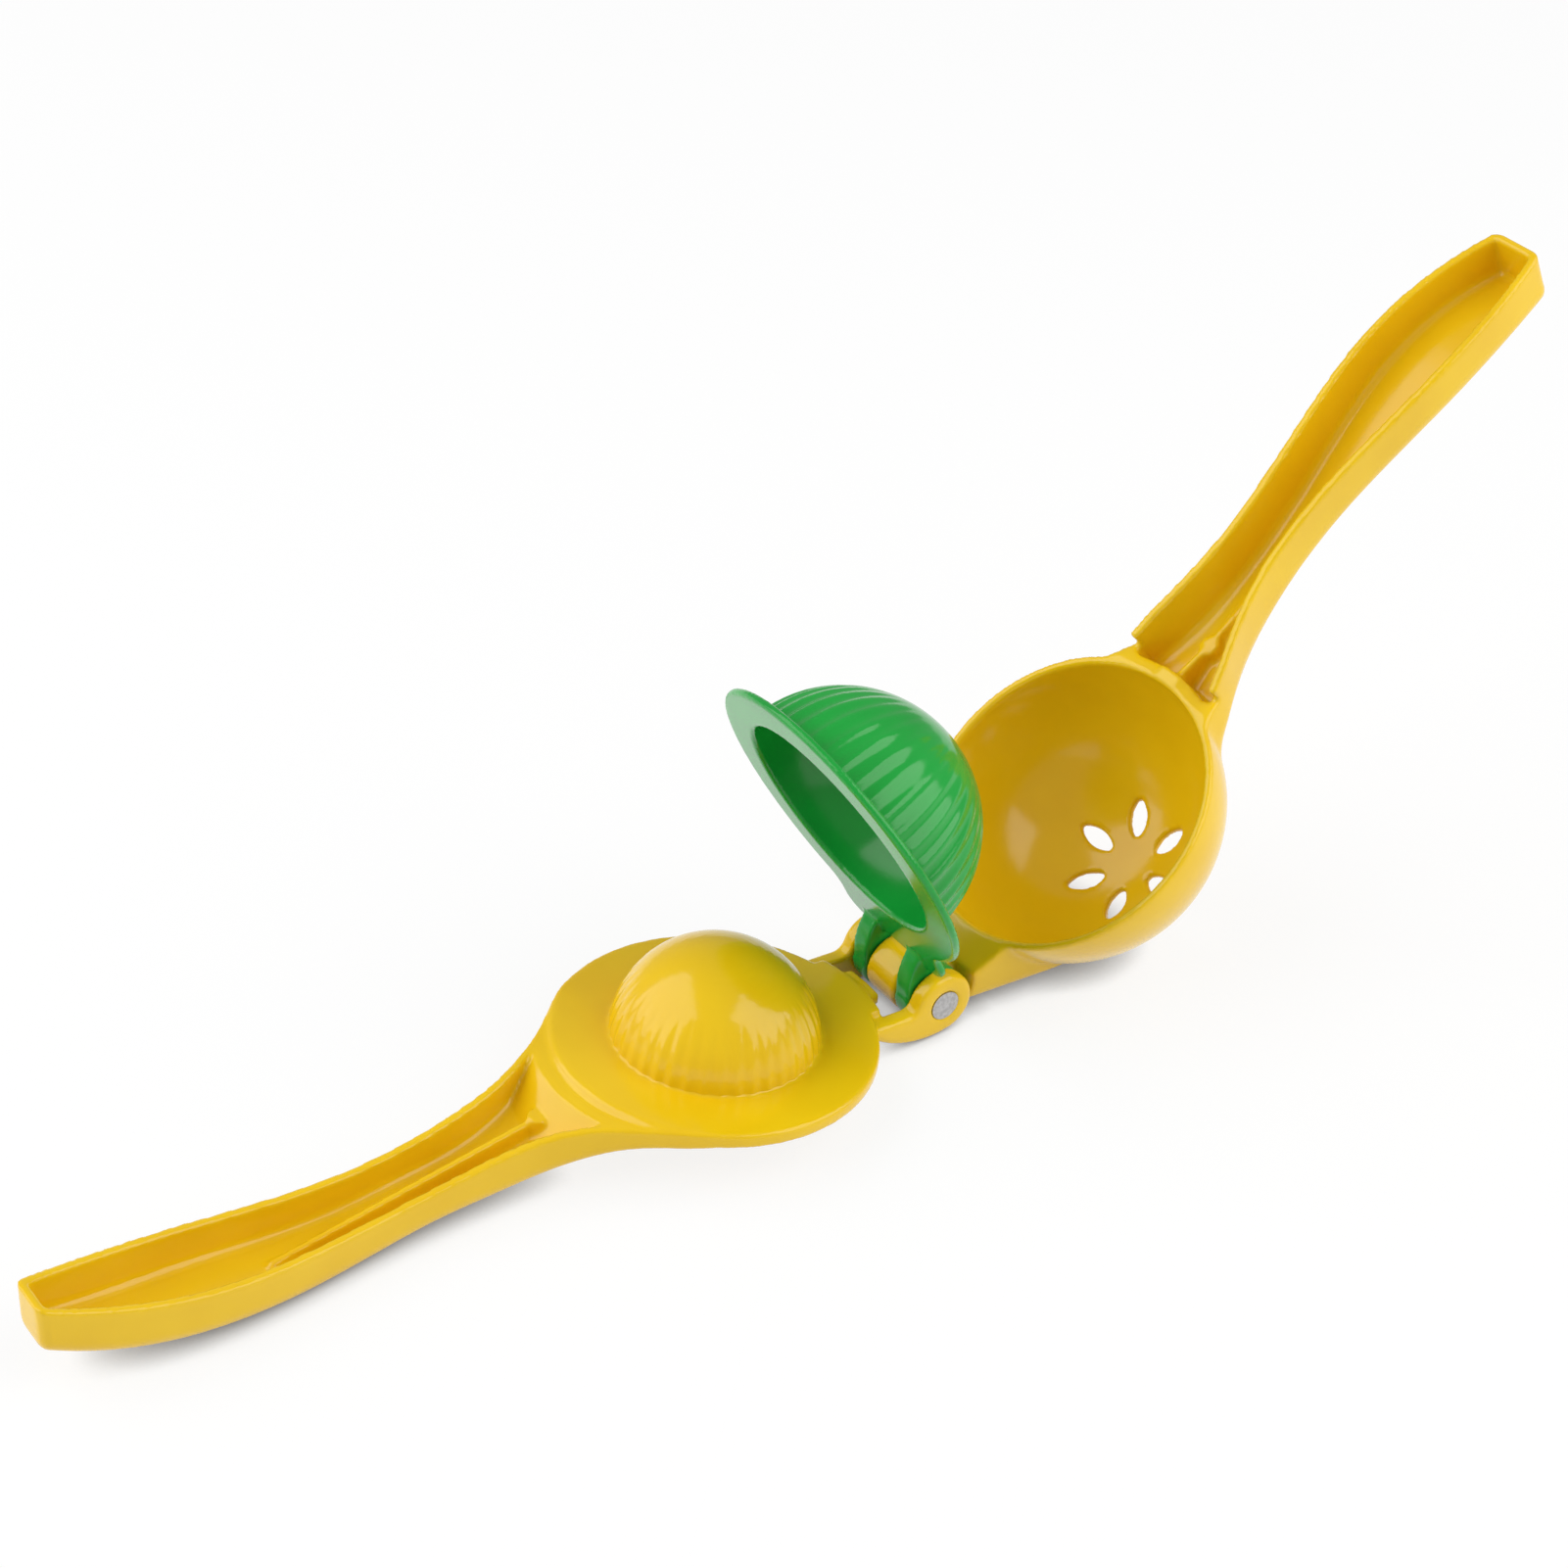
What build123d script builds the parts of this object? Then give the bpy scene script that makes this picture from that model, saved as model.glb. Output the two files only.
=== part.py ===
from build123d import *
from build123d.topology import SkipClean
from math import acos, asin, atan2, cos, degrees, hypot, radians, sin, sqrt
import os

# Hinged lemon squeezer: two enamelled castings and a cup for small fruit on one steel rivet.
# Each casting is drawn in its own frame: the rivet runs along Y through the origin, the casting
# points along +X, and the side that faces the fruit is +Z. assemble() turns each to its rest place.
# Lengths are in mm, angles in degrees.

# ---- layout ------------------------------------------------------------------------------
CENTRE = 49.5             # rivet to the middle of the bowl, the cup and the pressing dome
BOWL_OPENING = 135.3      # bowl arm from press arm, as opened
CUP_OPENING = 75.0        # cup from bowl arm, as opened
GAP = 0.3                 # air between castings that move past each other
RUNNING_FIT = 0.06        # radial play of the turning leaves on the rivet
TINY = 0.01
AMPLE = 200.0             # size of a cutter that is to reach past everything
PAST = 1.0                # how far a cutter runs past the face that it opens

# ---- hinge -------------------------------------------------------------------------------
RIVET_R = 2.5
HEAD_R = 3.35
HEAD_DEPTH = 1.2
HEAD_DOME = 0.35          # height of the crown above the ear
KNUCKLE_R = 7.0
KNUCKLE_HALF = 5.0
LUG_WIDTH = 4.6
EAR_R = 7.2
EAR_WIDTH = 3.9
EAR_ROOT_ROUND = 2.5      # hollow corner between an ear and the arm that carries it
EAR_EDGE_ROUND = 1.2
LUG_IN = KNUCKLE_HALF + GAP
LUG_OUT = LUG_IN + LUG_WIDTH
EAR_IN = LUG_OUT + GAP
EAR_OUT = EAR_IN + EAR_WIDTH
SHOULDER_R = 9.2          # hollow of the bowl's neck round the lugs and ears

# ---- bowl --------------------------------------------------------------------------------
RIM_Z = -3.3
BOWL_R = 34.7
BOWL_WALL = 1.9
BOWL_Z = RIM_Z - 0.9      # middle of the bowl's sphere
RIM_ROUND = 0.8
DRAIN_COUNT = 6
DRAIN_TURN = 30.0
DRAIN_FROM = 10.0         # angles from the bowl's lowest point
DRAIN_TO = 25.5
DRAIN_WIDTH = 4.0
NECK_SIDE = 14.2
NECK_WIDE_X = 6.0         # the neck widens up to here, then less
NECK_WIDE_SIDE = 11.4
NECK_NOSE_X = -9.0
NECK_NOSE_SIDE = 7.4
NECK_ROUND = 3.0
NECK_LOW_R = 6.2          # the neck's underside touches this circle round the rivet
NECK_BOWL_R = 31.0        # and this one round the middle of the bowl's sphere

# ---- cup ---------------------------------------------------------------------------------
FLANGE_TOP = -1.2
FLANGE_THICK = 1.8
FLANGE_R = 35.6
CUP_R = 28.65
CUP_WALL = 2.25
CUP_Z = FLANGE_TOP - 1.14
FLANGE_ROUND = 0.8
MOUTH_ROUND = 0.6
TAB_SIDE = 17.0
TAB_END = 8.5             # rivet to the straight end of the flange's tab
TAB_ROOT = 20.0
TAB_ROUND = 5.0
TAB_BLEND = 5.0           # hollow corner where the tab leaves the round flange
LUG_SLOPE_END = 12.6      # rivet to where a lug's shoulder meets the flange
LUG_BULGE = 0.9           # height of the shoulder's round
SLOT_TOP = 9.6            # rivet to the closed end of the slot between the lugs
SLOT_ROUND = 2.5

# ---- press plate and dome ----------------------------------------------------------------
PLATE_TOP = 1.5
PLATE_THICK = 3.4
PLATE_R = 34.3
DOME_R = 22.1
DOME_Z = PLATE_TOP - 1.5
DOME_WALL = 3.0
PLATE_ROUND = 0.8
YOKE_EDGE_R = 36.7        # edge between the ears, round the dome's axis
TONGUE_EDGE_R = 39.1      # edge of the narrow tongue that runs up to the knuckle
TONGUE_TOP = 1.0
YOKE_TOP = -0.3
WEB_ROUND = 0.8
YOKE_ROOT = 25.0          # rivet to where the yoke has run into the plate
HEEL_X = 4.0              # rivet to the lowest point of the yoke
HEEL_R = 24.0             # round of the heel, tangent to the ears

# ---- flutes down the outside of the cup and of the dome ---------------------------------
FLUTE_COUNT = 40
FLUTE_R = 3.6             # hollow of a flute
FLUTE_CHORD = 20.0        # the hollow is drawn with chords this long
CUP_FLUTE_DEPTH = 0.6     # at the flange
CUP_FLUTE_END = 30.0      # angle from the lowest point where a flute runs out
DOME_FLUTE_DEPTH = 0.35
DOME_FLUTE_END = 44.0
FLUTE_LEAD = 8.0          # how far a flute's cutter starts past the equator
FLUTE_SWEEP = 80.0

# ---- handles -----------------------------------------------------------------------------
WALL = 2.0
FLOOR = 2.6
STEP_X = 86.6             # where the bowl handle's walls rise above the rim
CHANNEL_END_R = 36.4      # end of the bowl handle's channel, round the bowl's axis
PRESS_FACE_R = 37.4       # edge of the press plate's face, round the dome's axis
PRESS_RAMP_R = 45.0
RAMP_TOP = 0.6
RAMP_LOW = -9.5
BOWL_TIP = 202.7          # rivet to the top of each handle's end face
BOWL_TIP_LEAN = 15.0
PRESS_TIP = 201.7
PRESS_TIP_LEAN = 4.0
TIP_ROUND = 2.6
CHANNEL_ROUND = 1.8
CHANNEL_RISE = 8.0        # how far the channels' cutters stand above the walls
RIB = 1.7
BOSS_R = 2.5
BOSS_FOOT = 5.0           # boss from its top down into the floor
BOWL_BOSS = (95.4, -7.2)
PRESS_BOSS = (91.5, -4.5)
BOWL_RIB = [(85.5, -5.8), (95.4, -7.2), (112.0, -7.4), (112.0, -8.4), (85.5, -13.0)]
PRESS_RIB = [(91.5, -4.7), (152.0, -18.4), (152.0, -20.2), (119.0, -15.9), (98.0, -11.5), (91.5, -8.5)]

# Top edge of each handle, seen from the side: an arc through a highest or lowest point.
BOWL_CREST = (146.0, 9.1)
BOWL_CREST_R = 225.0
PRESS_TROUGH = (155.0, -11.1)
PRESS_TROUGH_R = 185.0
# Underside of the press handle, the arc that it lies on.
BELLY = (160.5, -22.0)
BELLY_R = 177.0

# Stations along the bowl handle: distance from the rivet, half width, underside, lower corners.
BOWL_STATIONS = [
    (76.0, 21.0, -15.8, 4.5),
    (84.6, 14.0, -14.6, 4.2),
    (91.0, 11.1, -13.6, 4.0),
    (98.0, 8.9, -12.2, 4.0),
    (108.0, 7.3, -10.3, 4.0),
    (121.0, 6.7, -8.2, 4.0),
    (137.0, 7.7, -6.3, 4.2),
    (153.0, 9.8, -5.2, 4.4),
    (169.0, 11.1, -5.5, 4.5),
    (184.0, 10.3, -7.3, 4.2),
    (196.0, 8.0, -10.2, 3.8),
    (206.0, 4.8, -13.4, 3.0),
]
# Stations along the press handle: distance, half width, top edge (None: on the arc),
# underside (None: on the belly arc), lower corners.
PRESS_STATIONS = [
    (64.0, 30.8, 1.5, -1.9, 0.9),
    (71.0, 26.9, 1.5, -2.6, 1.2),
    (77.0, 21.8, 0.7, -4.0, 1.6),
    (83.0, 17.0, 0.1, -6.1, 2.2),
    (89.0, 13.4, -0.5, -8.9, 3.0),
    (96.0, 10.6, -2.0, -11.9, 3.6),
    (105.0, 8.95, None, -14.6, 4.0),
    (119.0, 8.2, None, None, 4.2),
    (137.0, 8.8, None, None, 4.3),
    (153.0, 10.2, None, None, 4.4),
    (168.0, 10.7, None, None, 4.5),
    (183.0, 9.4, None, None, 4.2),
    (196.0, 6.8, None, -17.6, 3.6),
    (205.0, 4.1, None, -14.6, 3.0),
]


# ---- small helpers -----------------------------------------------------------------------
def slab(outline, y0, y1):
    """An outline drawn in X and Z, made solid between two heights along Y."""
    face = Plane.XZ.offset(-y1) * outline
    return extrude(face, y1 - y0)


def round_bar(radius, y0, y1):
    """A cylinder along the rivet's line."""
    return slab(Circle(radius), y0, y1)


def both_sides(shape):
    return shape + mirror(shape, about=Plane.XZ)


def tangent_points(r0, centre, r1):
    """Lower outer tangent of a circle round the origin and a second circle, as two points."""
    x, z = centre
    lean = atan2(z, x) - asin((r1 - r0) / hypot(x, z))
    nx, nz = sin(lean), -cos(lean)
    return (r0 * nx, r0 * nz), (x + r1 * nx, z + r1 * nz)


def arc_height(x, middle, radius):
    """Height at x of a long arc; a positive radius has its middle as the lowest point."""
    drop = abs(radius) - sqrt(radius**2 - (x - middle[0]) ** 2)
    return middle[1] + (drop if radius > 0 else -drop)


def section(x, half_width, top, bottom, corner):
    """A slice across a handle: flat on top, rounded lower corners."""
    outline = Pos(0, (top + bottom) / 2) * Rectangle(2 * half_width, top - bottom)
    outline = fillet(outline.vertices().group_by(Axis.Y)[0], corner)
    return Plane.YZ.offset(x) * outline


def channel_section(x, half_width, top, bottom):
    """A slice across the space inside a handle."""
    low, high = bottom + FLOOR, top + CHANNEL_RISE
    outline = Pos(0, (low + high) / 2) * Rectangle(2 * (half_width - WALL), high - low)
    outline = fillet(outline.vertices().group_by(Axis.Y)[0], CHANNEL_ROUND)
    return Plane.YZ.offset(x) * outline


def bowl_stations():
    for x, half_width, low, corner in BOWL_STATIONS:
        yield x, half_width, arc_height(x, BOWL_CREST, -BOWL_CREST_R), low, corner


def press_stations():
    for x, half_width, top, low, corner in PRESS_STATIONS:
        top = arc_height(x, PRESS_TROUGH, PRESS_TROUGH_R) if top is None else top
        low = arc_height(x, BELLY, BELLY_R) if low is None else low
        yield x, half_width, top, low, corner


def past_tip(tip, inset=0.0):
    """Everything past a handle's leaning end face, or past a face that far inside it."""
    x, z, lean = tip
    return Pos(x, 0, z) * Rot(0, lean, 0) * Pos(AMPLE / 2 - inset, 0, 0) * Box(AMPLE, AMPLE, AMPLE)


def handle(stations, tip):
    """The outside of a handle, before its channel is cut."""
    body = loft([section(*s) for s in stations]) - past_tip(tip)
    end = body.faces().sort_by(Axis.X)[-1]
    return fillet(end.edges().sort_by(Axis.Z)[:-1], TIP_ROUND)


def channel(stations, start, tip):
    """The space inside a handle's walls, open at the top."""
    rows = [s for s in stations if s[0] > start]
    body = loft([channel_section(x, half_width, top, low) for x, half_width, top, low, _ in rows])
    return body - past_tip(tip, WALL)


def rib(points):
    """A thin web down the middle of a channel, with its foot inside the floor."""
    return slab(make_face(Polyline(*points, close=True)), -RIB / 2, RIB / 2)


def upright(x, radius, z0, z1):
    return Pos(x, 0, (z0 + z1) / 2) * Cylinder(radius, z1 - z0)


# ---- the four pieces ---------------------------------------------------------------------
def fluted_shell(radius, wall, depth, end):
    """Lower half of a hollow ball, made of equal sectors with one flute down each."""
    turn = 360 / FLUTE_COUNT
    quarter = Pos(radius / 2, -radius / 2) * Rectangle(radius, radius)
    profile = Plane.XZ * ((Circle(radius) - Circle(radius - 2 * wall)) & quarter)
    sector = Rot(0, 0, -turn / 2) * revolve(profile, Axis.Z, turn)
    shift = depth / (1 - sin(radians(end)))
    bottom = radius + shift * sin(radians(end))
    steps = [radians(FLUTE_CHORD * i) for i in (-2, -1, 0, 1, 2)]
    hollow = [(bottom + FLUTE_R * (1 - cos(a)), FLUTE_R * sin(a)) for a in steps]
    groove = revolve(make_face(Polyline(*hollow, close=True)), Axis.Y, FLUTE_SWEEP)
    sector -= Pos(-shift, 0, 0) * Rot(0, -FLUTE_LEAD, 0) * groove
    sectors = [Rot(0, 0, i * turn) * sector for i in range(FLUTE_COUNT)]
    with SkipClean():
        shell = sectors[0].fuse(*sectors[1:])
        return shell - Sphere(radius - wall)


def half_ball(radius, z, up):
    side = 1 if up else -1
    ball = Pos(CENTRE, 0, z) * Sphere(radius)
    return ball & Pos(CENTRE, 0, z + side * AMPLE / 2) * Box(AMPLE, AMPLE, AMPLE)


def drain_slots():
    """Pointed slots in a ring, cut straight down through the bottom of the bowl."""
    near, far = (BOWL_R * sin(radians(a)) for a in (DRAIN_FROM, DRAIN_TO))
    half_length = (far - near) / 2
    half_width = DRAIN_WIDTH / 2
    arc_r = (half_length**2 + half_width**2) / (2 * half_width)
    lens = Pos(0, arc_r - half_width) * Circle(arc_r) & Pos(0, half_width - arc_r) * Circle(arc_r)
    slot = Pos((near + far) / 2, 0, BOWL_Z - BOWL_R - PAST) * extrude(lens, BOWL_R / 2)
    turns = [DRAIN_TURN + i * 360 / DRAIN_COUNT for i in range(DRAIN_COUNT)]
    return [Pos(CENTRE, 0, 0) * Rot(0, 0, turn) * slot for turn in turns]


def rim_edge(body, radius, z):
    """The round edge of a bowl's or cup's mouth."""
    return [e for e in body.edges().filter_by(GeomType.CIRCLE)
            if abs(e.radius - radius) < TINY and abs(e.center().Z - z) < TINY]


def make_bowl_arm():
    stations = list(bowl_stations())
    tip = (BOWL_TIP, arc_height(BOWL_TIP, BOWL_CREST, -BOWL_CREST_R), BOWL_TIP_LEAN)
    grip = handle(stations, tip)
    grip -= Pos(STEP_X - AMPLE / 2, 0, RIM_Z + AMPLE / 2) * Box(AMPLE, AMPLE, AMPLE)

    a, b = tangent_points(NECK_LOW_R, (CENTRE, BOWL_Z), NECK_BOWL_R)
    side = Polyline(a, b, (CENTRE, BOWL_Z), (CENTRE, RIM_Z), (0, RIM_Z), close=True)
    root = CENTRE - NECK_BOWL_R
    half = [(NECK_NOSE_X, NECK_NOSE_SIDE), (NECK_WIDE_X, NECK_WIDE_SIDE), (root, NECK_SIDE),
            (CENTRE, NECK_SIDE)]
    plan = make_face(Polyline(*half, *[(x, -y) for x, y in reversed(half)], close=True))
    neck = slab(make_face(side), -BOWL_R, BOWL_R) & Pos(0, 0, -AMPLE / 2) * extrude(plan, AMPLE)
    low = [e for e in neck.edges() if e.center().X < root and e.center().Z < RIM_Z - PAST]
    sides = [e for e in low if abs(e.center().Y) > KNUCKLE_HALF and abs((e % 0.5).X) > abs((e % 0.5).Y)]
    neck = fillet(sides, NECK_ROUND)

    body = half_ball(BOWL_R, BOWL_Z, up=False) + upright(CENTRE, BOWL_R, BOWL_Z, RIM_Z) + neck + grip
    body -= half_ball(BOWL_R - BOWL_WALL, BOWL_Z, up=False)
    body -= upright(CENTRE, BOWL_R - BOWL_WALL, BOWL_Z, RIM_Z + PAST)
    body = fillet(rim_edge(body, BOWL_R - BOWL_WALL, RIM_Z), RIM_ROUND)
    body -= drain_slots()
    for sign in (1, -1):
        ends = sorted((sign * KNUCKLE_HALF, sign * 2 * EAR_OUT))
        body -= round_bar(SHOULDER_R, *ends)
    body += round_bar(KNUCKLE_R, -KNUCKLE_HALF, KNUCKLE_HALF)
    body -= round_bar(RIVET_R + RUNNING_FIT, -EAR_OUT, EAR_OUT)

    space = channel(stations, BOWL_STATIONS[0][0], tip) - upright(CENTRE, CHANNEL_END_R, -AMPLE, AMPLE)
    body -= space
    body += rib(BOWL_RIB)
    body += upright(BOWL_BOSS[0], BOSS_R, BOWL_BOSS[1] - BOSS_FOOT, BOWL_BOSS[1])
    return body


def heel_middle():
    """Middle of the heel's round: it touches the ears' circle from outside."""
    return HEEL_X, sqrt((HEEL_R - EAR_R) ** 2 - HEEL_X**2)


def web(radius, top, half_width):
    """The plate's edge run on between the ears, out to a circle round the dome's axis."""
    disc = upright(CENTRE, radius, PLATE_TOP - PLATE_THICK, top)
    disc = fillet(disc.edges().filter_by(GeomType.CIRCLE).sort_by(Axis.Z)[-1], WEB_ROUND)
    return disc & Box(2 * YOKE_ROOT, 2 * half_width, AMPLE)


def make_yoke():
    """The two ears and what joins them to the plate."""
    heel_x, heel_z = heel_middle()
    touch = -EAR_R * heel_x / (HEEL_R - EAR_R)
    depth = HEEL_R - heel_z
    keep = Pos((touch + YOKE_ROOT) / 2, YOKE_TOP - depth / 2) * Rectangle(YOKE_ROOT - touch, depth)
    side = Circle(EAR_R) + (Pos(heel_x, heel_z) * Circle(HEEL_R) & keep)
    corners = [v for v in side.vertices() if abs(v.Y - YOKE_TOP) < TINY and v.X < EAR_R]
    side = fillet(corners, EAR_ROOT_ROUND)
    between = Pos(CENTRE - AMPLE / 2, 0, 0) * Box(AMPLE, 2 * EAR_IN, AMPLE)
    between -= upright(CENTRE, YOKE_EDGE_R, -AMPLE, AMPLE)
    yoke = slab(side, -EAR_OUT, EAR_OUT)
    outer = [e for e in yoke.edges() if abs(abs(e.center().Y) - EAR_OUT) < TINY]
    yoke = fillet(outer, EAR_EDGE_ROUND) - between
    return yoke + web(YOKE_EDGE_R, PLATE_TOP, EAR_IN) + web(TONGUE_EDGE_R, TONGUE_TOP, KNUCKLE_HALF)


def make_press_arm():
    stations = list(press_stations())
    tip = (PRESS_TIP, arc_height(PRESS_TIP, PRESS_TROUGH, PRESS_TROUGH_R), PRESS_TIP_LEAN)
    low = PLATE_TOP - PLATE_THICK
    plate = upright(CENTRE, PLATE_R, low, PLATE_TOP)
    plate = fillet(plate.edges().filter_by(GeomType.CIRCLE), PLATE_ROUND)
    body = plate + handle(stations, tip)
    body += make_yoke()

    body -= upright(CENTRE, DOME_R - DOME_WALL, low - PAST, PLATE_TOP + PAST)

    space = channel(stations, PRESS_STATIONS[1][0], tip)
    space -= upright_cone(PRESS_FACE_R, PRESS_RAMP_R)
    body -= space
    body += rib(PRESS_RIB)
    body += upright(PRESS_BOSS[0], BOSS_R, PRESS_BOSS[1] - BOSS_FOOT, PRESS_BOSS[1])
    for sign in (1, -1):
        ends = sorted((sign * (EAR_OUT - HEAD_DEPTH), sign * 2 * EAR_OUT))
        body -= round_bar(HEAD_R, *ends)
    body -= round_bar(RIVET_R, -EAR_OUT, EAR_OUT)
    dome = fluted_shell(DOME_R, DOME_WALL, DOME_FLUTE_DEPTH, DOME_FLUTE_END)
    with SkipClean():
        return body + Pos(CENTRE, 0, DOME_Z) * Rot(180, 0, 0) * dome


def upright_cone(top_r, low_r):
    """Ramp from the plate's face down to the floor of the channel."""
    cone = Pos(CENTRE, 0, (RAMP_TOP + RAMP_LOW) / 2) * Cone(low_r, top_r, RAMP_TOP - RAMP_LOW)
    return cone + upright(CENTRE, top_r, RAMP_TOP, AMPLE) + upright(CENTRE, low_r, -AMPLE, RAMP_LOW)


def make_cup():
    low = FLANGE_TOP - FLANGE_THICK
    lip = sqrt((CUP_R - CUP_WALL) ** 2 - (FLANGE_TOP - CUP_Z) ** 2)
    disc = Circle(FLANGE_R)
    tab = Pos((TAB_END + TAB_ROOT) / 2, 0) * Rectangle(TAB_ROOT - TAB_END, 2 * TAB_SIDE)
    disc = Pos(CENTRE, 0) * disc + tab
    disc = fillet([v for v in disc.vertices() if v.X < TAB_END + TINY], TAB_ROUND)
    sides = [v for v in disc.vertices() if abs(abs(v.Y) - TAB_SIDE) < TINY]
    disc = fillet([v for v in sides if v.X > TAB_END + TAB_ROUND + TINY], TAB_BLEND)
    flange = Pos(0, 0, low) * extrude(disc, FLANGE_THICK)
    flange = fillet(flange.edges().filter_by(Axis.Z, reverse=True), FLANGE_ROUND)

    tip = (LUG_SLOPE_END, FLANGE_TOP)
    reach = hypot(*tip)
    lean = atan2(tip[1], tip[0]) + acos(KNUCKLE_R / reach)
    touch = (KNUCKLE_R * cos(lean), KNUCKLE_R * sin(lean))
    front = SagittaArc(touch, tip, LUG_BULGE)
    rest = Polyline(tip, (LUG_SLOPE_END, low), (0, low), (0, 0), touch)
    lug = slab(make_face([front, rest]), LUG_IN, LUG_OUT) + round_bar(KNUCKLE_R, LUG_IN, LUG_OUT)
    body = flange + both_sides(lug)
    slot = Rectangle(2 * SLOT_TOP, 2 * LUG_IN)
    slot = fillet(slot.vertices().group_by(Axis.X)[-1], SLOT_ROUND)
    body -= Pos(0, 0, -AMPLE / 2) * extrude(slot, AMPLE)
    body -= round_bar(RIVET_R + RUNNING_FIT, -EAR_OUT, EAR_OUT)

    body -= upright(CENTRE, lip, low - PAST, FLANGE_TOP + PAST)
    body = fillet(rim_edge(body, lip, FLANGE_TOP), MOUTH_ROUND)
    shell = fluted_shell(CUP_R, CUP_WALL, CUP_FLUTE_DEPTH, CUP_FLUTE_END)
    with SkipClean():
        return body + Pos(CENTRE, 0, CUP_Z) * shell


def make_rivet():
    """Straight shank with a low crown on each end, set in the ears."""
    crown_r = (HEAD_R**2 + HEAD_DOME**2) / (2 * HEAD_DOME)
    head_in = EAR_OUT - HEAD_DEPTH
    half = make_face([
        Line((0, 0), (RIVET_R, 0)), Line((RIVET_R, 0), (RIVET_R, head_in)),
        Line((RIVET_R, head_in), (HEAD_R, head_in)), Line((HEAD_R, head_in), (HEAD_R, EAR_OUT)),
        RadiusArc((HEAD_R, EAR_OUT), (0, EAR_OUT + HEAD_DOME), -crown_r),
        Line((0, EAR_OUT + HEAD_DOME), (0, 0)),
    ])
    end = revolve(half, Axis.Y)
    return both_sides(end)


# ---- placing -----------------------------------------------------------------------------
def rest_tilt():
    """Rise of the press arm when it lies on its belly and on its heel."""
    heel_x, heel_z = heel_middle()
    x, z = BELLY[0] - heel_x, BELLY[1] + BELLY_R - heel_z
    return degrees(-atan2(z, x) + asin((BELLY_R - HEEL_R) / hypot(x, z)))


def assemble():
    tilt = rest_tilt()
    press_at = 180 - tilt
    bowl_at = press_at - BOWL_OPENING
    cup_at = bowl_at + CUP_OPENING
    pieces = {
        "press_arm": Rot(0, tilt, 0) * Rot(0, 0, 180) * make_press_arm(),
        "hinge_pin": Rot(0, tilt, 0) * Rot(0, 0, 180) * make_rivet(),
        "cup": Rot(0, -cup_at, 0) * make_cup(),
        "bowl_arm": Rot(0, -bowl_at, 0) * make_bowl_arm(),
    }
    boxes = [piece.bounding_box() for piece in pieces.values()]
    middle = (min(b.min.X for b in boxes) + max(b.max.X for b in boxes)) / 2
    shift = Pos(-middle, 0, -min(b.min.Z for b in boxes))
    print("rivet at", shift.position, "press, cup and bowl arm at", press_at, cup_at, bowl_at)
    return {name: shift * piece for name, piece in pieces.items()}


if __name__ == "__main__":
    os.makedirs("parts", exist_ok=True)
    for name, piece in assemble().items():
        export_step(piece, f"parts/{name}.step")
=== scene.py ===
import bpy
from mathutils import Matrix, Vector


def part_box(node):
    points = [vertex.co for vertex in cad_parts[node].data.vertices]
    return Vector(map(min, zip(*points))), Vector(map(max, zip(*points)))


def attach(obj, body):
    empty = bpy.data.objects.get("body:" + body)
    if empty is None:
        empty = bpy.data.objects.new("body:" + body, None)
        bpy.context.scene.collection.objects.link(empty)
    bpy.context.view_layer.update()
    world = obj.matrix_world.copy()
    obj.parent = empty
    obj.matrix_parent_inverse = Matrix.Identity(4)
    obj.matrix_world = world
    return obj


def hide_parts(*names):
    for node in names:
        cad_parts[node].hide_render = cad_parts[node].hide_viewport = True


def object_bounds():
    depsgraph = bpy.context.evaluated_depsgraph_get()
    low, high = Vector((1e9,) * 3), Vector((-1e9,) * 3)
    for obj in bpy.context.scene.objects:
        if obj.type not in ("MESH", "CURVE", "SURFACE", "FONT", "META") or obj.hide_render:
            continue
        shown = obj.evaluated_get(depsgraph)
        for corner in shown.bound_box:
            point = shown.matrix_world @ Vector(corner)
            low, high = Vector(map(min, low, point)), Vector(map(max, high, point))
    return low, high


bl_info = {
    "name": "Hinged lemon squeezer",
    "version": (1, 0, 0),
    "blender": (4, 5, 0),
    "location": "3D View > Sidebar > Squeezer",
    "description": "Enamel, rivet and stage for a hinged hand press with a bowl, a cup and a pressing dome",
    "category": "Add Mesh",
}

from math import radians

import bpy
from bpy.props import FloatProperty, FloatVectorProperty, IntProperty, PointerProperty
from bpy.types import Operator, Panel, PropertyGroup
from mathutils import Matrix, Vector

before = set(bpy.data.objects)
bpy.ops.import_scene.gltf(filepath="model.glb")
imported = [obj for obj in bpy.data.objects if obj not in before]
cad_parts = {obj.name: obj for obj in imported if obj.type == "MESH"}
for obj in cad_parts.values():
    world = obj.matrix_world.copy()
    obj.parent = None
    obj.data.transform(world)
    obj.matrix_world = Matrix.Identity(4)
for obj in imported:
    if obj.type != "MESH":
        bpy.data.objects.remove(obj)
CAD_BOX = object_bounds()
MM = 0.001
RIVET = (Vector(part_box("hinge_pin")[0]) + Vector(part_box("hinge_pin")[1])) / 2
BOWL_LIFT = radians(39.2179)       # turn of the bowl arm about the rivet, up from the floor
PRESS_LIFT = radians(174.5179)     # turn of the press arm, the same way

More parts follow.
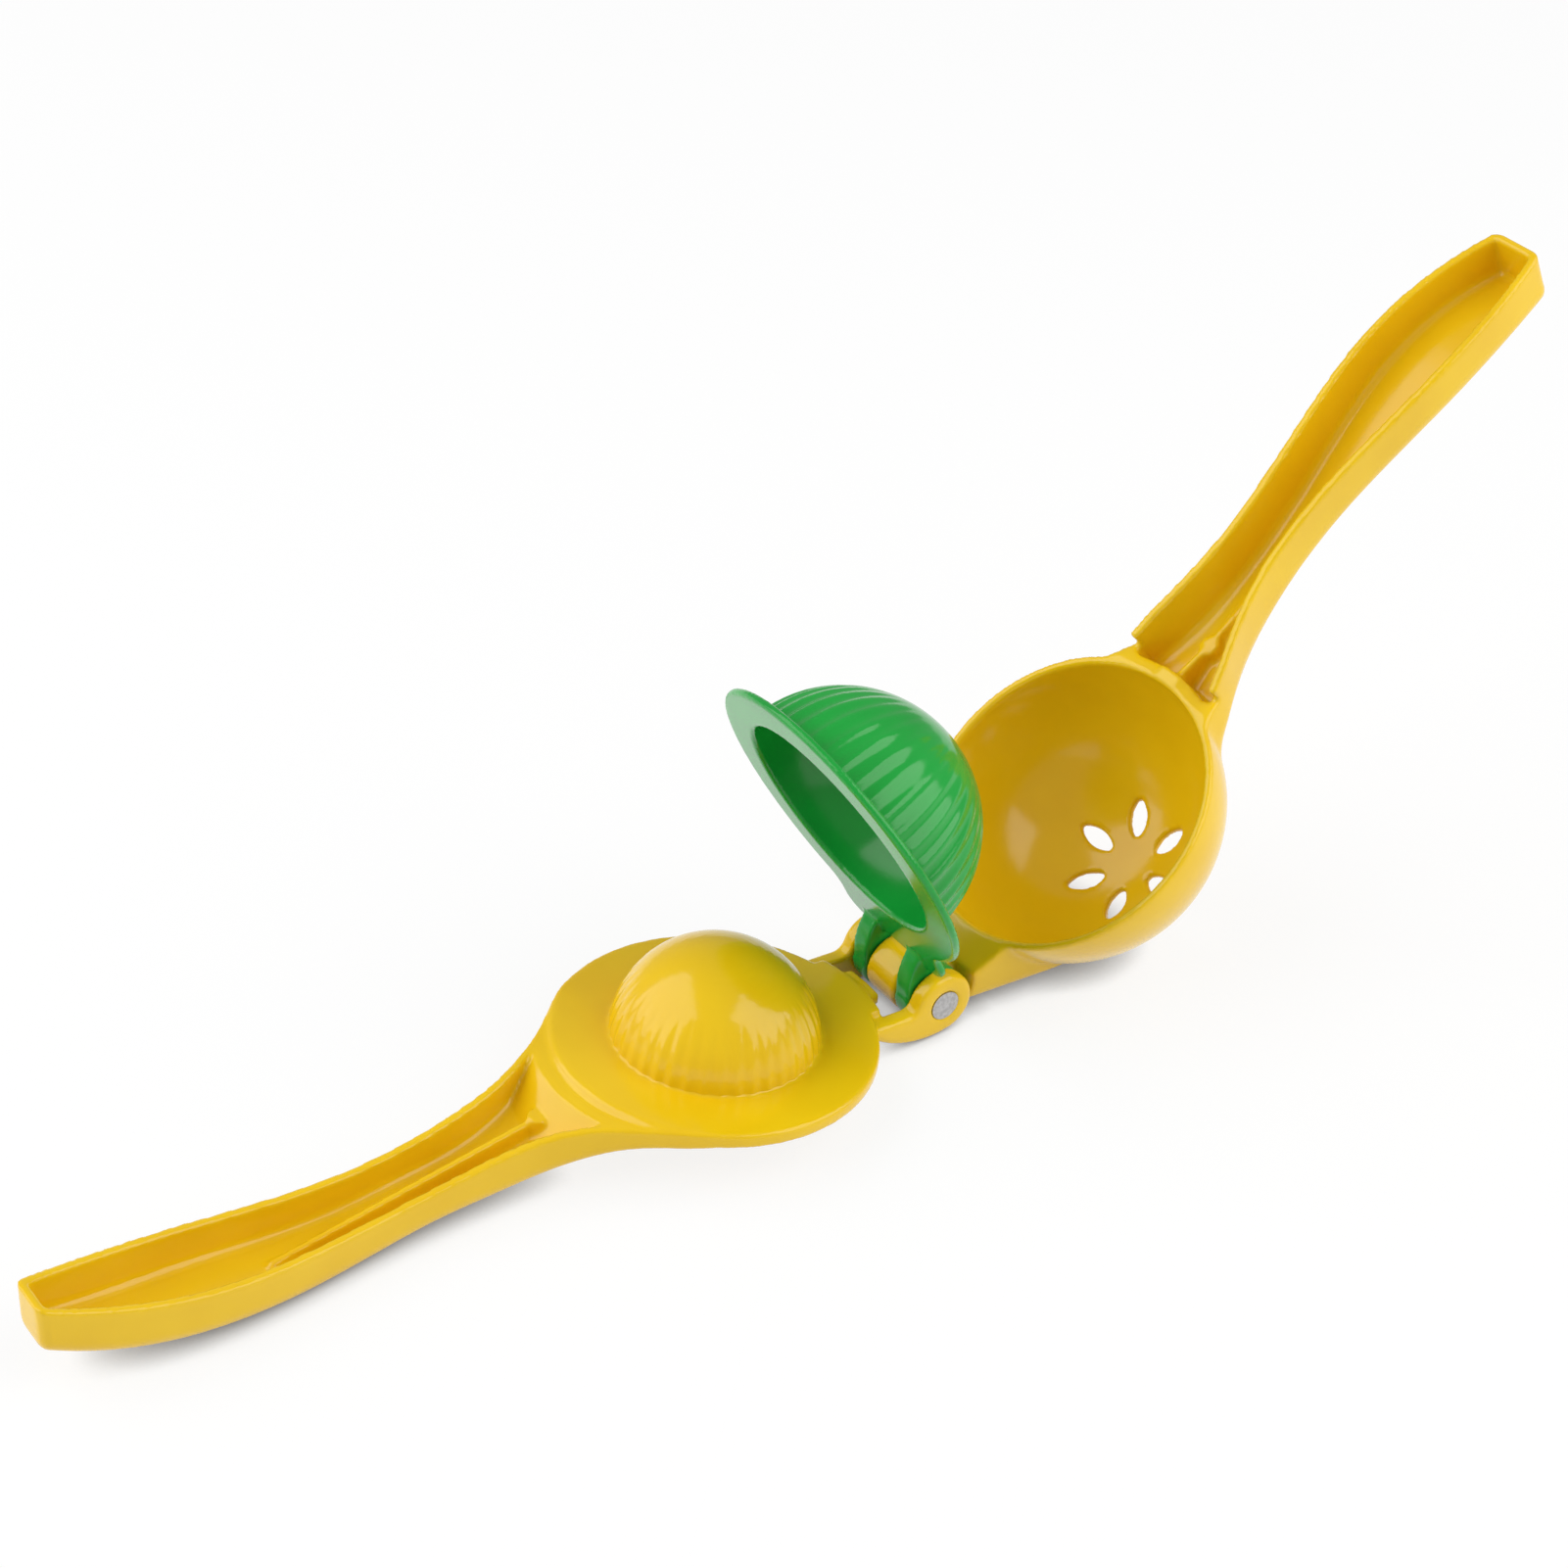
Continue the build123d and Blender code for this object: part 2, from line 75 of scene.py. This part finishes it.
# The bowl handle seen from the side, in millimetres from the rivet. Its walls rise over a first
# stretch. Their top edge and the line where they leave the channel's floor are bent alike.
WALL_START = (81.0, 88.0)
WALL_TOP_X, WALL_TOP = 146.0, 9.1
WALL_FOOT_X, WALL_FOOT = 156.0, -1.8
WALL_BEND = 450.0
MIDDLE_STRIP = (2.6, 4.2)          # half width that the rib and the boss take up, and clear of it
STRIP_END = (120.0, 135.0)         # the strip with the rib ends here
BOSS_NEAR, BOSS_FAR = (85.0, 94.0), (94.0, 118.0)
TIP_STRETCH = (118.0, 180.0)       # from the boss's walls to the tip's
TIP_LEAN = 0.4                     # lean at the tip, as a share of the draft
LEAN_SIDE = 4.0                    # half width from which a wall leans in full

# The press arm's dome, from the rivet. Its flutes lie within the skin.
PLATE_TOP = 1.5 * MM
DOME_SKIN = 1.2 * MM
DOME_SINK = 0.97                   # size of the arm's own dome below the fine one

# The stage: the floor's paper just below the arms, and the lamps from the object's middle.
FLOOR_GAP = 0.2 * MM
PAINTED_SHADE_REACH = 9 * MM               # how far the floor's faint painted shade reaches round a piece
GLOW_SHARE = 0.85                  # of what the camera sees of the paper, the rest is lit
LEFT_LAMP, LEFT_LAMP_SIDE = (-0.86, 0.51, 0.75), 1.5
RIGHT_LAMP, RIGHT_LAMP_SIDE = (0.68, -0.73, 0.75), 1.3
SENSOR = 36.0                      # width of the camera's sensor, in millimetres


# ---- sizes and colours -------------------------------------------------------------------
class CastingSettings(PropertyGroup):
    """How the enamel softens the castings' edges."""

    bowl_grain: FloatProperty(
        name="Grain of the bowl arm", description="Spacing of the enamel skin's points on the bowl arm",
        default=0.625 * MM, min=0.3 * MM, max=2 * MM, unit="LENGTH", precision=5)
    press_grain: FloatProperty(
        name="Grain of the press arm", description="Spacing of the enamel skin's points on the press arm",
        default=0.53 * MM, min=0.3 * MM, max=2 * MM, unit="LENGTH", precision=5)
    cup_grain: FloatProperty(
        name="Grain of the cup", description="Spacing of the enamel skin's points on the cup",
        default=0.467 * MM, min=0.3 * MM, max=2 * MM, unit="LENGTH", precision=5)
    dome_grain: FloatProperty(
        name="Grain of the dome", description="Spacing of the enamel skin's points on the dome",
        default=0.34 * MM, min=0.25 * MM, max=2 * MM, unit="LENGTH", precision=5)
    softening: IntProperty(
        name="Softening", description="Passes that round the enamel over the edges",
        default=3, min=0, max=30)
    dome_reach: FloatProperty(
        name="Dome", description="Rivet to the middle of the dome",
        default=49.5 * MM, min=0, unit="LENGTH", precision=5)
    dome_radius: FloatProperty(
        name="Dome radius", description="Outside of the dome over its flutes",
        default=22.1 * MM, min=0, unit="LENGTH", precision=5)
    wall_drop: FloatProperty(
        name="Wall drop", description="Lowering of the bowl handle's walls near the bowl",
        default=2.5 * MM, min=0, unit="LENGTH", precision=5)
    wall_drop_tip: FloatProperty(
        name="Wall drop at the tip", description="Lowering of the bowl handle's walls at the tip",
        default=0.9 * MM, min=0, unit="LENGTH", precision=5)
    wall_draft: FloatProperty(
        name="Wall draft", description="Lean of the bowl handle's walls outwards at their top",
        default=1.0 * MM, min=0, unit="LENGTH", precision=5)
    boss_room: FloatProperty(
        name="Room at the boss", description="Further lean of the walls beside the bowl handle's boss",
        default=1.3 * MM, min=0, unit="LENGTH", precision=5)


class EnamelSettings(PropertyGroup):
    """Colours of the enamel and of the rivet."""

    yellow: FloatVectorProperty(
        name="Yellow", description="Enamel of both arms", subtype="COLOR", size=3,
        min=0, max=1, default=(0.84, 0.545, 0.006))
    yellow_deep: FloatVectorProperty(
        name="Deep yellow", description="Thicker enamel of both arms", subtype="COLOR", size=3,
        min=0, max=1, default=(0.80, 0.50, 0.004))
    green: FloatVectorProperty(
        name="Green", description="Enamel of the cup", subtype="COLOR", size=3,
        min=0, max=1, default=(0.010, 0.36, 0.045))
    green_deep: FloatVectorProperty(
        name="Deep green", description="Thicker enamel of the cup", subtype="COLOR", size=3,
        min=0, max=1, default=(0.007, 0.30, 0.035))
    steel: FloatVectorProperty(
        name="Steel", description="Rivet", subtype="COLOR", size=3,
        min=0, max=1, default=(0.55, 0.54, 0.54))


class StageSettings(PropertyGroup):
    """Camera, floor and lamps."""

    camera_at: FloatVectorProperty(
        name="Camera", description="Place of the camera", subtype="TRANSLATION", size=3,
        default=(-0.32972, -0.44497, 0.46640))
    camera_turn: FloatVectorProperty(
        name="Camera turn", description="Turn of the camera about X, Y and Z", subtype="EULER", size=3,
        default=(radians(54.033), radians(-0.886), radians(-34.855)))
    lens: FloatProperty(
        name="Lens", description="Focal length of the camera, in millimetres",
        default=78.23, min=10, max=300)
    floor_size: FloatProperty(
        name="Floor", description="Side of the square floor", default=6.0, min=1, unit="LENGTH")
    left_power: FloatProperty(
        name="Left light", description="Power of the large lamp on the left", default=14.5, min=0)
    right_power: FloatProperty(
        name="Right light", description="Power of the large lamp on the right", default=12.0, min=0)
    sky: FloatProperty(
        name="Sky", description="Strength of the even light from all round", default=0.38, min=0)


# ---- helpers -----------------------------------------------------------------------------
def pick(obj):
    """Makes one object the only one selected, and active."""
    bpy.ops.object.select_all(action="DESELECT")
    obj.select_set(True)
    bpy.context.view_layer.objects.active = obj
    return obj


def settle(obj):
    """Applies the object's modifiers in order."""
    pick(obj)
    for modifier in list(obj.modifiers):
        bpy.ops.object.modifier_apply(modifier=modifier.name)


def copy_of_node(node, name):
    """A copy of a casting's mesh with its loose triangles joined."""
    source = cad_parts[node]
    piece = bpy.data.objects.new(name, source.data.copy())
    bpy.context.scene.collection.objects.link(piece)
    piece.data.name = name
    piece.data.materials.clear()
    pick(piece)
    bpy.ops.object.mode_set(mode="EDIT")
    bpy.ops.mesh.select_all(action="SELECT")
    bpy.ops.mesh.remove_doubles(threshold=0.002 * MM)
    bpy.ops.object.mode_set(mode="OBJECT")
    return piece


def coat(piece, grain, softening):
    """Rounds a solid's edges as a coat of enamel does, finely first, so that no steps stay."""
    for share, passes in ((0.5, 2 * softening), (1.0, 1)):
        skin = piece.modifiers.new("skin", "REMESH")
        skin.mode = "VOXEL"
        skin.voxel_size = grain * share
        soft = piece.modifiers.new("soft", "SMOOTH")
        soft.factor = 0.5
        soft.iterations = passes
    settle(piece)
    bpy.ops.object.shade_smooth()


def enamel_skin(node, name, grain, softening):
    """A casting with the round edges that a coat of enamel gives it."""
    piece = copy_of_node(node, name)
    coat(piece, grain, softening)
    return piece


def rise(value, low, high):
    """Goes smoothly from 0 at one value to 1 at the other."""
    share = min(max((value - low) / (high - low), 0.0), 1.0)
    return share * share * (3 - 2 * share)


def shape_bowl_walls(piece, sizes):
    """Lowers the bowl handle's walls and leans them out, and leaves its floor, rib and boss."""
    along = Matrix.Rotation(BOWL_LIFT, 4, "Y") @ Matrix.Translation(-RIVET)
    piece.data.transform(along)
    for vertex in piece.data.vertices:
        x, y, z = vertex.co / MM
        if x < WALL_START[0]:
            continue
        foot = WALL_FOOT - (x - WALL_FOOT_X) ** 2 / WALL_BEND
        top = WALL_TOP - (x - WALL_TOP_X) ** 2 / WALL_BEND
        share = min(max((z - foot) / (top - foot), 0.0), 1.0) * rise(x, *WALL_START)
        share *= max(rise(abs(y), *MIDDLE_STRIP), rise(x, *STRIP_END))
        at_boss = rise(x, *BOSS_NEAR) - rise(x, *BOSS_FAR)
        to_tip = rise(x, *TIP_STRETCH)
        drop = sizes.wall_drop + (sizes.wall_drop_tip - sizes.wall_drop) * to_tip
        draft = sizes.wall_draft * (1 - (1 - TIP_LEAN) * to_tip)
        lean = (draft + sizes.boss_room * at_boss) * min(abs(y) / LEAN_SIDE, 1.0)
        vertex.co.z -= drop * share
        vertex.co.y += lean * share * (1 if y > 0 else -1)
    piece.data.transform(along.inverted())


def in_dome_skin(point, sizes, above, inside, outside):
    """Whether a point lies near the dome's outer face, and above the plate by some distance."""
    middle = Vector((sizes.dome_reach, 0, 0))
    off_face = (point - middle).length - sizes.dome_radius
    return point.z < -PLATE_TOP - above and -inside < off_face < outside


def cut_out_dome(dome, sizes):
    """Leaves the dome's outer face of a press arm, and gives it a thin wall down into the plate."""
    pick(dome)
    bpy.ops.object.mode_set(mode="EDIT")
    bpy.ops.mesh.select_mode(type="FACE")
    bpy.ops.mesh.select_all(action="DESELECT")
    bpy.ops.object.mode_set(mode="OBJECT")
    points = dome.data.vertices
    for face in dome.data.polygons:
        face.select = not all(
            in_dome_skin(points[i].co, sizes, above=-0.01 * MM, inside=DOME_SKIN, outside=0.2 * MM)
            for i in face.vertices)
    bpy.ops.object.mode_set(mode="EDIT")
    bpy.ops.mesh.delete(type="FACE")
    bpy.ops.mesh.select_mode(type="EDGE")
    bpy.ops.mesh.select_all(action="DESELECT")
    bpy.ops.mesh.select_non_manifold(
        use_wire=False, use_multi_face=False, use_non_contiguous=False, use_verts=False)
    bpy.ops.mesh.extrude_edges_move(TRANSFORM_OT_translate={"value": (0, 0, DOME_SKIN)})
    bpy.ops.object.mode_set(mode="OBJECT")
    wall = dome.modifiers.new("wall", "SOLIDIFY")
    wall.thickness = DOME_SKIN
    wall.offset = -1
    settle(dome)


def sink_dome(body, sizes):
    """Draws the press arm's own dome in, so that the fine one covers it."""
    middle = Vector((sizes.dome_reach, 0, 0))
    for vertex in body.data.vertices:
        if in_dome_skin(vertex.co, sizes, above=0.3 * MM, inside=1.8 * MM, outside=0.3 * MM):
            vertex.co = middle + (vertex.co - middle) * DOME_SINK


def split_dome(body, dome, sizes):
    """Keeps the dome's outer skin as a piece with a finer grain than the rest of the press arm."""
    along = Matrix.Rotation(PRESS_LIFT, 4, "Y") @ Matrix.Translation(-RIVET)
    for piece in (body, dome):
        piece.data.transform(along)
    cut_out_dome(dome, sizes)
    sink_dome(body, sizes)
    for piece in (body, dome):
        piece.data.transform(along.inverted())


def finish_piece(piece, material, body, node):
    """Gives a finished piece its material and its body, and hides the node that it stands for."""
    piece.data.materials.clear()
    piece.data.materials.append(material)
    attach(piece, body)
    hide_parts(node)


# ---- materials ---------------------------------------------------------------------------
def start_material(name):
    material = bpy.data.materials.new(name)
    material.use_nodes = True
    tree = material.node_tree
    return material, tree, tree.nodes["Principled BSDF"]


def noise(tree, scale, detail=2.0):
    """Noise that stays on the piece as it moves."""
    where = tree.nodes.new("ShaderNodeTexCoord")
    pattern = tree.nodes.new("ShaderNodeTexNoise")
    pattern.inputs["Scale"].default_value = scale
    pattern.inputs["Detail"].default_value = detail
    tree.links.new(where.outputs["Object"], pattern.inputs["Vector"])
    return pattern


def bump(tree, height, strength, distance, below=None):
    node = tree.nodes.new("ShaderNodeBump")
    node.inputs["Strength"].default_value = strength
    node.inputs["Distance"].default_value = distance
    tree.links.new(height, node.inputs["Height"])
    if below:
        tree.links.new(below.outputs["Normal"], node.inputs["Normal"])
    return node


def two_tone(tree, factor, low, high, start=0.35, end=0.65):
    ramp = tree.nodes.new("ShaderNodeValToRGB")
    ramp.color_ramp.elements[0].position = start
    ramp.color_ramp.elements[0].color = (*low, 1)
    ramp.color_ramp.elements[1].position = end
    ramp.color_ramp.elements[1].color = (*high, 1)
    tree.links.new(factor, ramp.inputs["Fac"])
    return ramp


def enamel(name, colour, deep):
    """Glossy enamel with faint clouds in its colour and the slight waves of a poured coat."""
    material, tree, shader = start_material(name)
    clouds = noise(tree, scale=45.0)
    tone = two_tone(tree, clouds.outputs["Fac"], deep, colour)
    tree.links.new(tone.outputs["Color"], shader.inputs["Base Color"])
    sheen = noise(tree, scale=160.0)
    rough = tree.nodes.new("ShaderNodeMapRange")
    rough.inputs["To Min"].default_value = 0.12
    rough.inputs["To Max"].default_value = 0.19
    tree.links.new(sheen.outputs["Fac"], rough.inputs["Value"])
    tree.links.new(rough.outputs["Result"], shader.inputs["Roughness"])
    waves = bump(tree, noise(tree, scale=220.0).outputs["Fac"], strength=0.25, distance=0.06 * MM)
    grain = noise(tree, scale=1100.0)
    peel = bump(tree, grain.outputs["Fac"], strength=0.12, distance=0.02 * MM, below=waves)
    tree.links.new(peel.outputs["Normal"], shader.inputs["Normal"])
    shader.inputs["IOR"].default_value = 1.45
    return material


def rivet_steel(name, colour):
    """Dull steel with the fine scratches of the peening tool."""
    material, tree, shader = start_material(name)
    scratches = noise(tree, scale=1500.0, detail=4.0)
    tone = two_tone(tree, scratches.outputs["Fac"], [c * 0.75 for c in colour], colour)
    tree.links.new(tone.outputs["Color"], shader.inputs["Base Color"])
    dents = bump(tree, noise(tree, scale=700.0).outputs["Fac"], strength=0.5, distance=0.05 * MM)
    tree.links.new(dents.outputs["Normal"], shader.inputs["Normal"])
    shader.inputs["Metallic"].default_value = 0.9
    shader.inputs["Roughness"].default_value = 0.42
    return material


def floor_paper(name):
    """White paper that the camera and the gloss see as white, with a faint shadow on it, partly real from
    its lit share and partly painted: ambient occlusion near the pieces dims its glow.
    """
    material, tree, shader = start_material(name)
    shader.inputs["Base Color"].default_value = (0.92, 0.92, 0.92, 1)
    shader.inputs["Roughness"].default_value = 0.9
    glow = tree.nodes.new("ShaderNodeEmission")
    # Painted shade: ambient occlusion dims the paper's glow near and under the pieces, as a contact shadow.
    painted_shade_ao = tree.nodes.new("ShaderNodeAmbientOcclusion")
    painted_shade_ao.inputs["Distance"].default_value = PAINTED_SHADE_REACH
    faint = tree.nodes.new("ShaderNodeMapRange")
    faint.inputs["From Min"].default_value = 0.1
    faint.inputs["From Max"].default_value = 0.65
    faint.inputs["To Min"].default_value = 0.12
    faint.inputs["To Max"].default_value = 1.0
    tree.links.new(painted_shade_ao.outputs["AO"], faint.inputs["Value"])
    tree.links.new(faint.outputs["Result"], glow.inputs["Strength"])
    seen = tree.nodes.new("ShaderNodeLightPath")
    either = tree.nodes.new("ShaderNodeMath")
    either.operation = "MAXIMUM"
    share = tree.nodes.new("ShaderNodeMath")
    share.operation = "MULTIPLY"
    share.inputs[1].default_value = GLOW_SHARE
    mix = tree.nodes.new("ShaderNodeMixShader")
    tree.links.new(seen.outputs["Is Camera Ray"], either.inputs[0])
    tree.links.new(seen.outputs["Is Glossy Ray"], either.inputs[1])
    tree.links.new(either.outputs[0], share.inputs[0])
    tree.links.new(share.outputs[0], mix.inputs["Fac"])
    tree.links.new(shader.outputs["BSDF"], mix.inputs[1])
    tree.links.new(glow.outputs["Emission"], mix.inputs[2])
    tree.links.new(mix.outputs["Shader"], tree.nodes["Material Output"].inputs["Surface"])
    return material


# ---- pieces ------------------------------------------------------------------------------
class SQUEEZER_OT_bowl_arm(Operator):
    """Add the yellow arm with the slotted bowl"""

    bl_idname = "squeezer.bowl_arm"
    bl_label = "Bowl arm"

    def execute(self, context):
        sizes, colours = context.scene.squeezer_casting, context.scene.squeezer_enamel
        piece = enamel_skin("bowl_arm", "bowl_arm_enamel", sizes.bowl_grain, sizes.softening)
        shape_bowl_walls(piece, sizes)
        material = enamel("bowl_yellow_enamel", colours.yellow, colours.yellow_deep)
        finish_piece(piece, material, "bowl_arm", "bowl_arm")
        return {"FINISHED"}


class SQUEEZER_OT_press_arm(Operator):
    """Add the yellow arm with the pressing dome"""

    bl_idname = "squeezer.press_arm"
    bl_label = "Press arm"

    def execute(self, context):
        sizes, colours = context.scene.squeezer_casting, context.scene.squeezer_enamel
        body = copy_of_node("press_arm", "press_arm_enamel")
        dome = copy_of_node("press_arm", "press_dome_enamel")
        split_dome(body, dome, sizes)
        coat(body, sizes.press_grain, sizes.softening)
        coat(dome, sizes.dome_grain, sizes.softening - 1)
        material = enamel("press_yellow_enamel", colours.yellow, colours.yellow_deep)
        for piece in (body, dome):
            finish_piece(piece, material, "press_arm", "press_arm")
        return {"FINISHED"}


class SQUEEZER_OT_cup(Operator):
    """Add the green cup for small fruit"""

    bl_idname = "squeezer.cup"
    bl_label = "Cup"

    def execute(self, context):
        sizes, colours = context.scene.squeezer_casting, context.scene.squeezer_enamel
        piece = enamel_skin("cup", "cup_enamel", sizes.cup_grain, sizes.softening - 1)
        material = enamel("cup_green_enamel", colours.green, colours.green_deep)
        finish_piece(piece, material, "cup", "cup")
        return {"FINISHED"}


class SQUEEZER_OT_rivet(Operator):
    """Give the rivet its steel"""

    bl_idname = "squeezer.rivet"
    bl_label = "Rivet"

    def execute(self, context):
        material = rivet_steel("rivet_steel_finish", context.scene.squeezer_enamel.steel)
        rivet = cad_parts["hinge_pin"]
        for slot in rivet.material_slots:
            slot.material = material
        return {"FINISHED"}


class SQUEEZER_OT_stage(Operator):
    """Add the floor, the lamps and the camera"""

    bl_idname = "squeezer.stage"
    bl_label = "Stage"

    def execute(self, context):
        sizes = context.scene.squeezer_stage
        bpy.ops.object.select_all(action="DESELECT")
        bpy.ops.mesh.primitive_plane_add(size=sizes.floor_size, location=(0, 0, -FLOOR_GAP))
        floor = context.active_object
        floor.name = "floor"
        floor.data.materials.append(floor_paper("floor_paper"))

        bpy.ops.object.camera_add(location=sizes.camera_at, rotation=sizes.camera_turn)
        camera = context.active_object
        camera.data.lens = sizes.lens
        camera.data.sensor_width = SENSOR
        context.scene.camera = camera

        middle = (Vector(CAD_BOX[0]) + Vector(CAD_BOX[1])) / 2
        add_lamp("left", middle, LEFT_LAMP, LEFT_LAMP_SIDE, sizes.left_power)
        add_lamp("right", middle, RIGHT_LAMP, RIGHT_LAMP_SIDE, sizes.right_power)
        set_sky(sizes.sky)
        context.scene.view_settings.view_transform = "Standard"
        return {"FINISHED"}


def add_lamp(name, aim, offset, size, power):
    """A square soft lamp that faces a point."""
    place = aim + Vector(offset)
    turn = (aim - place).to_track_quat("-Z", "Y").to_euler()
    bpy.ops.object.light_add(type="AREA", location=place, rotation=turn)
    lamp = bpy.context.active_object
    lamp.name = name
    lamp.data.size = size
    lamp.data.energy = power


def set_sky(strength):
    """Even light from all round, which the camera sees as white."""
    world = bpy.data.worlds.new("sky")
    world.use_nodes = True
    bpy.context.scene.world = world
    tree = world.node_tree
    light = tree.nodes["Background"]
    light.inputs["Color"].default_value = (1, 1, 1, 1)
    light.inputs["Strength"].default_value = strength
    white = tree.nodes.new("ShaderNodeBackground")
    white.inputs["Color"].default_value = (1, 1, 1, 1)
    white.inputs["Strength"].default_value = 1.0
    seen = tree.nodes.new("ShaderNodeLightPath")
    mix = tree.nodes.new("ShaderNodeMixShader")
    tree.links.new(seen.outputs["Is Camera Ray"], mix.inputs["Fac"])
    tree.links.new(light.outputs["Background"], mix.inputs[1])
    tree.links.new(white.outputs["Background"], mix.inputs[2])
    tree.links.new(mix.outputs["Shader"], tree.nodes["World Output"].inputs["Surface"])


class SQUEEZER_PT_sidebar(Panel):
    """Lists the squeezer's pieces"""

    bl_label = "Squeezer"
    bl_idname = "SQUEEZER_PT_sidebar"
    bl_space_type = "VIEW_3D"
    bl_region_type = "UI"
    bl_category = "Squeezer"

    def draw(self, context):
        for piece in PIECES:
            self.layout.operator(piece.bl_idname)


PIECES = (
    SQUEEZER_OT_stage,
    SQUEEZER_OT_bowl_arm,
    SQUEEZER_OT_press_arm,
    SQUEEZER_OT_cup,
    SQUEEZER_OT_rivet,
)
SETTINGS = {
    "squeezer_casting": CastingSettings,
    "squeezer_enamel": EnamelSettings,
    "squeezer_stage": StageSettings,
}


def register():
    for kind in (*SETTINGS.values(), *PIECES, SQUEEZER_PT_sidebar):
        bpy.utils.register_class(kind)
    for name, kind in SETTINGS.items():
        setattr(bpy.types.Scene, name, PointerProperty(type=kind))


def unregister():
    for name in SETTINGS:
        delattr(bpy.types.Scene, name)
    for kind in (SQUEEZER_PT_sidebar, *reversed(PIECES), *reversed(SETTINGS.values())):
        bpy.utils.unregister_class(kind)


def main():
    register()
    bpy.ops.squeezer.stage()
    bpy.ops.squeezer.bowl_arm()
    bpy.ops.squeezer.press_arm()
    bpy.ops.squeezer.cup()
    bpy.ops.squeezer.rivet()


if __name__ == "__main__":
    main()
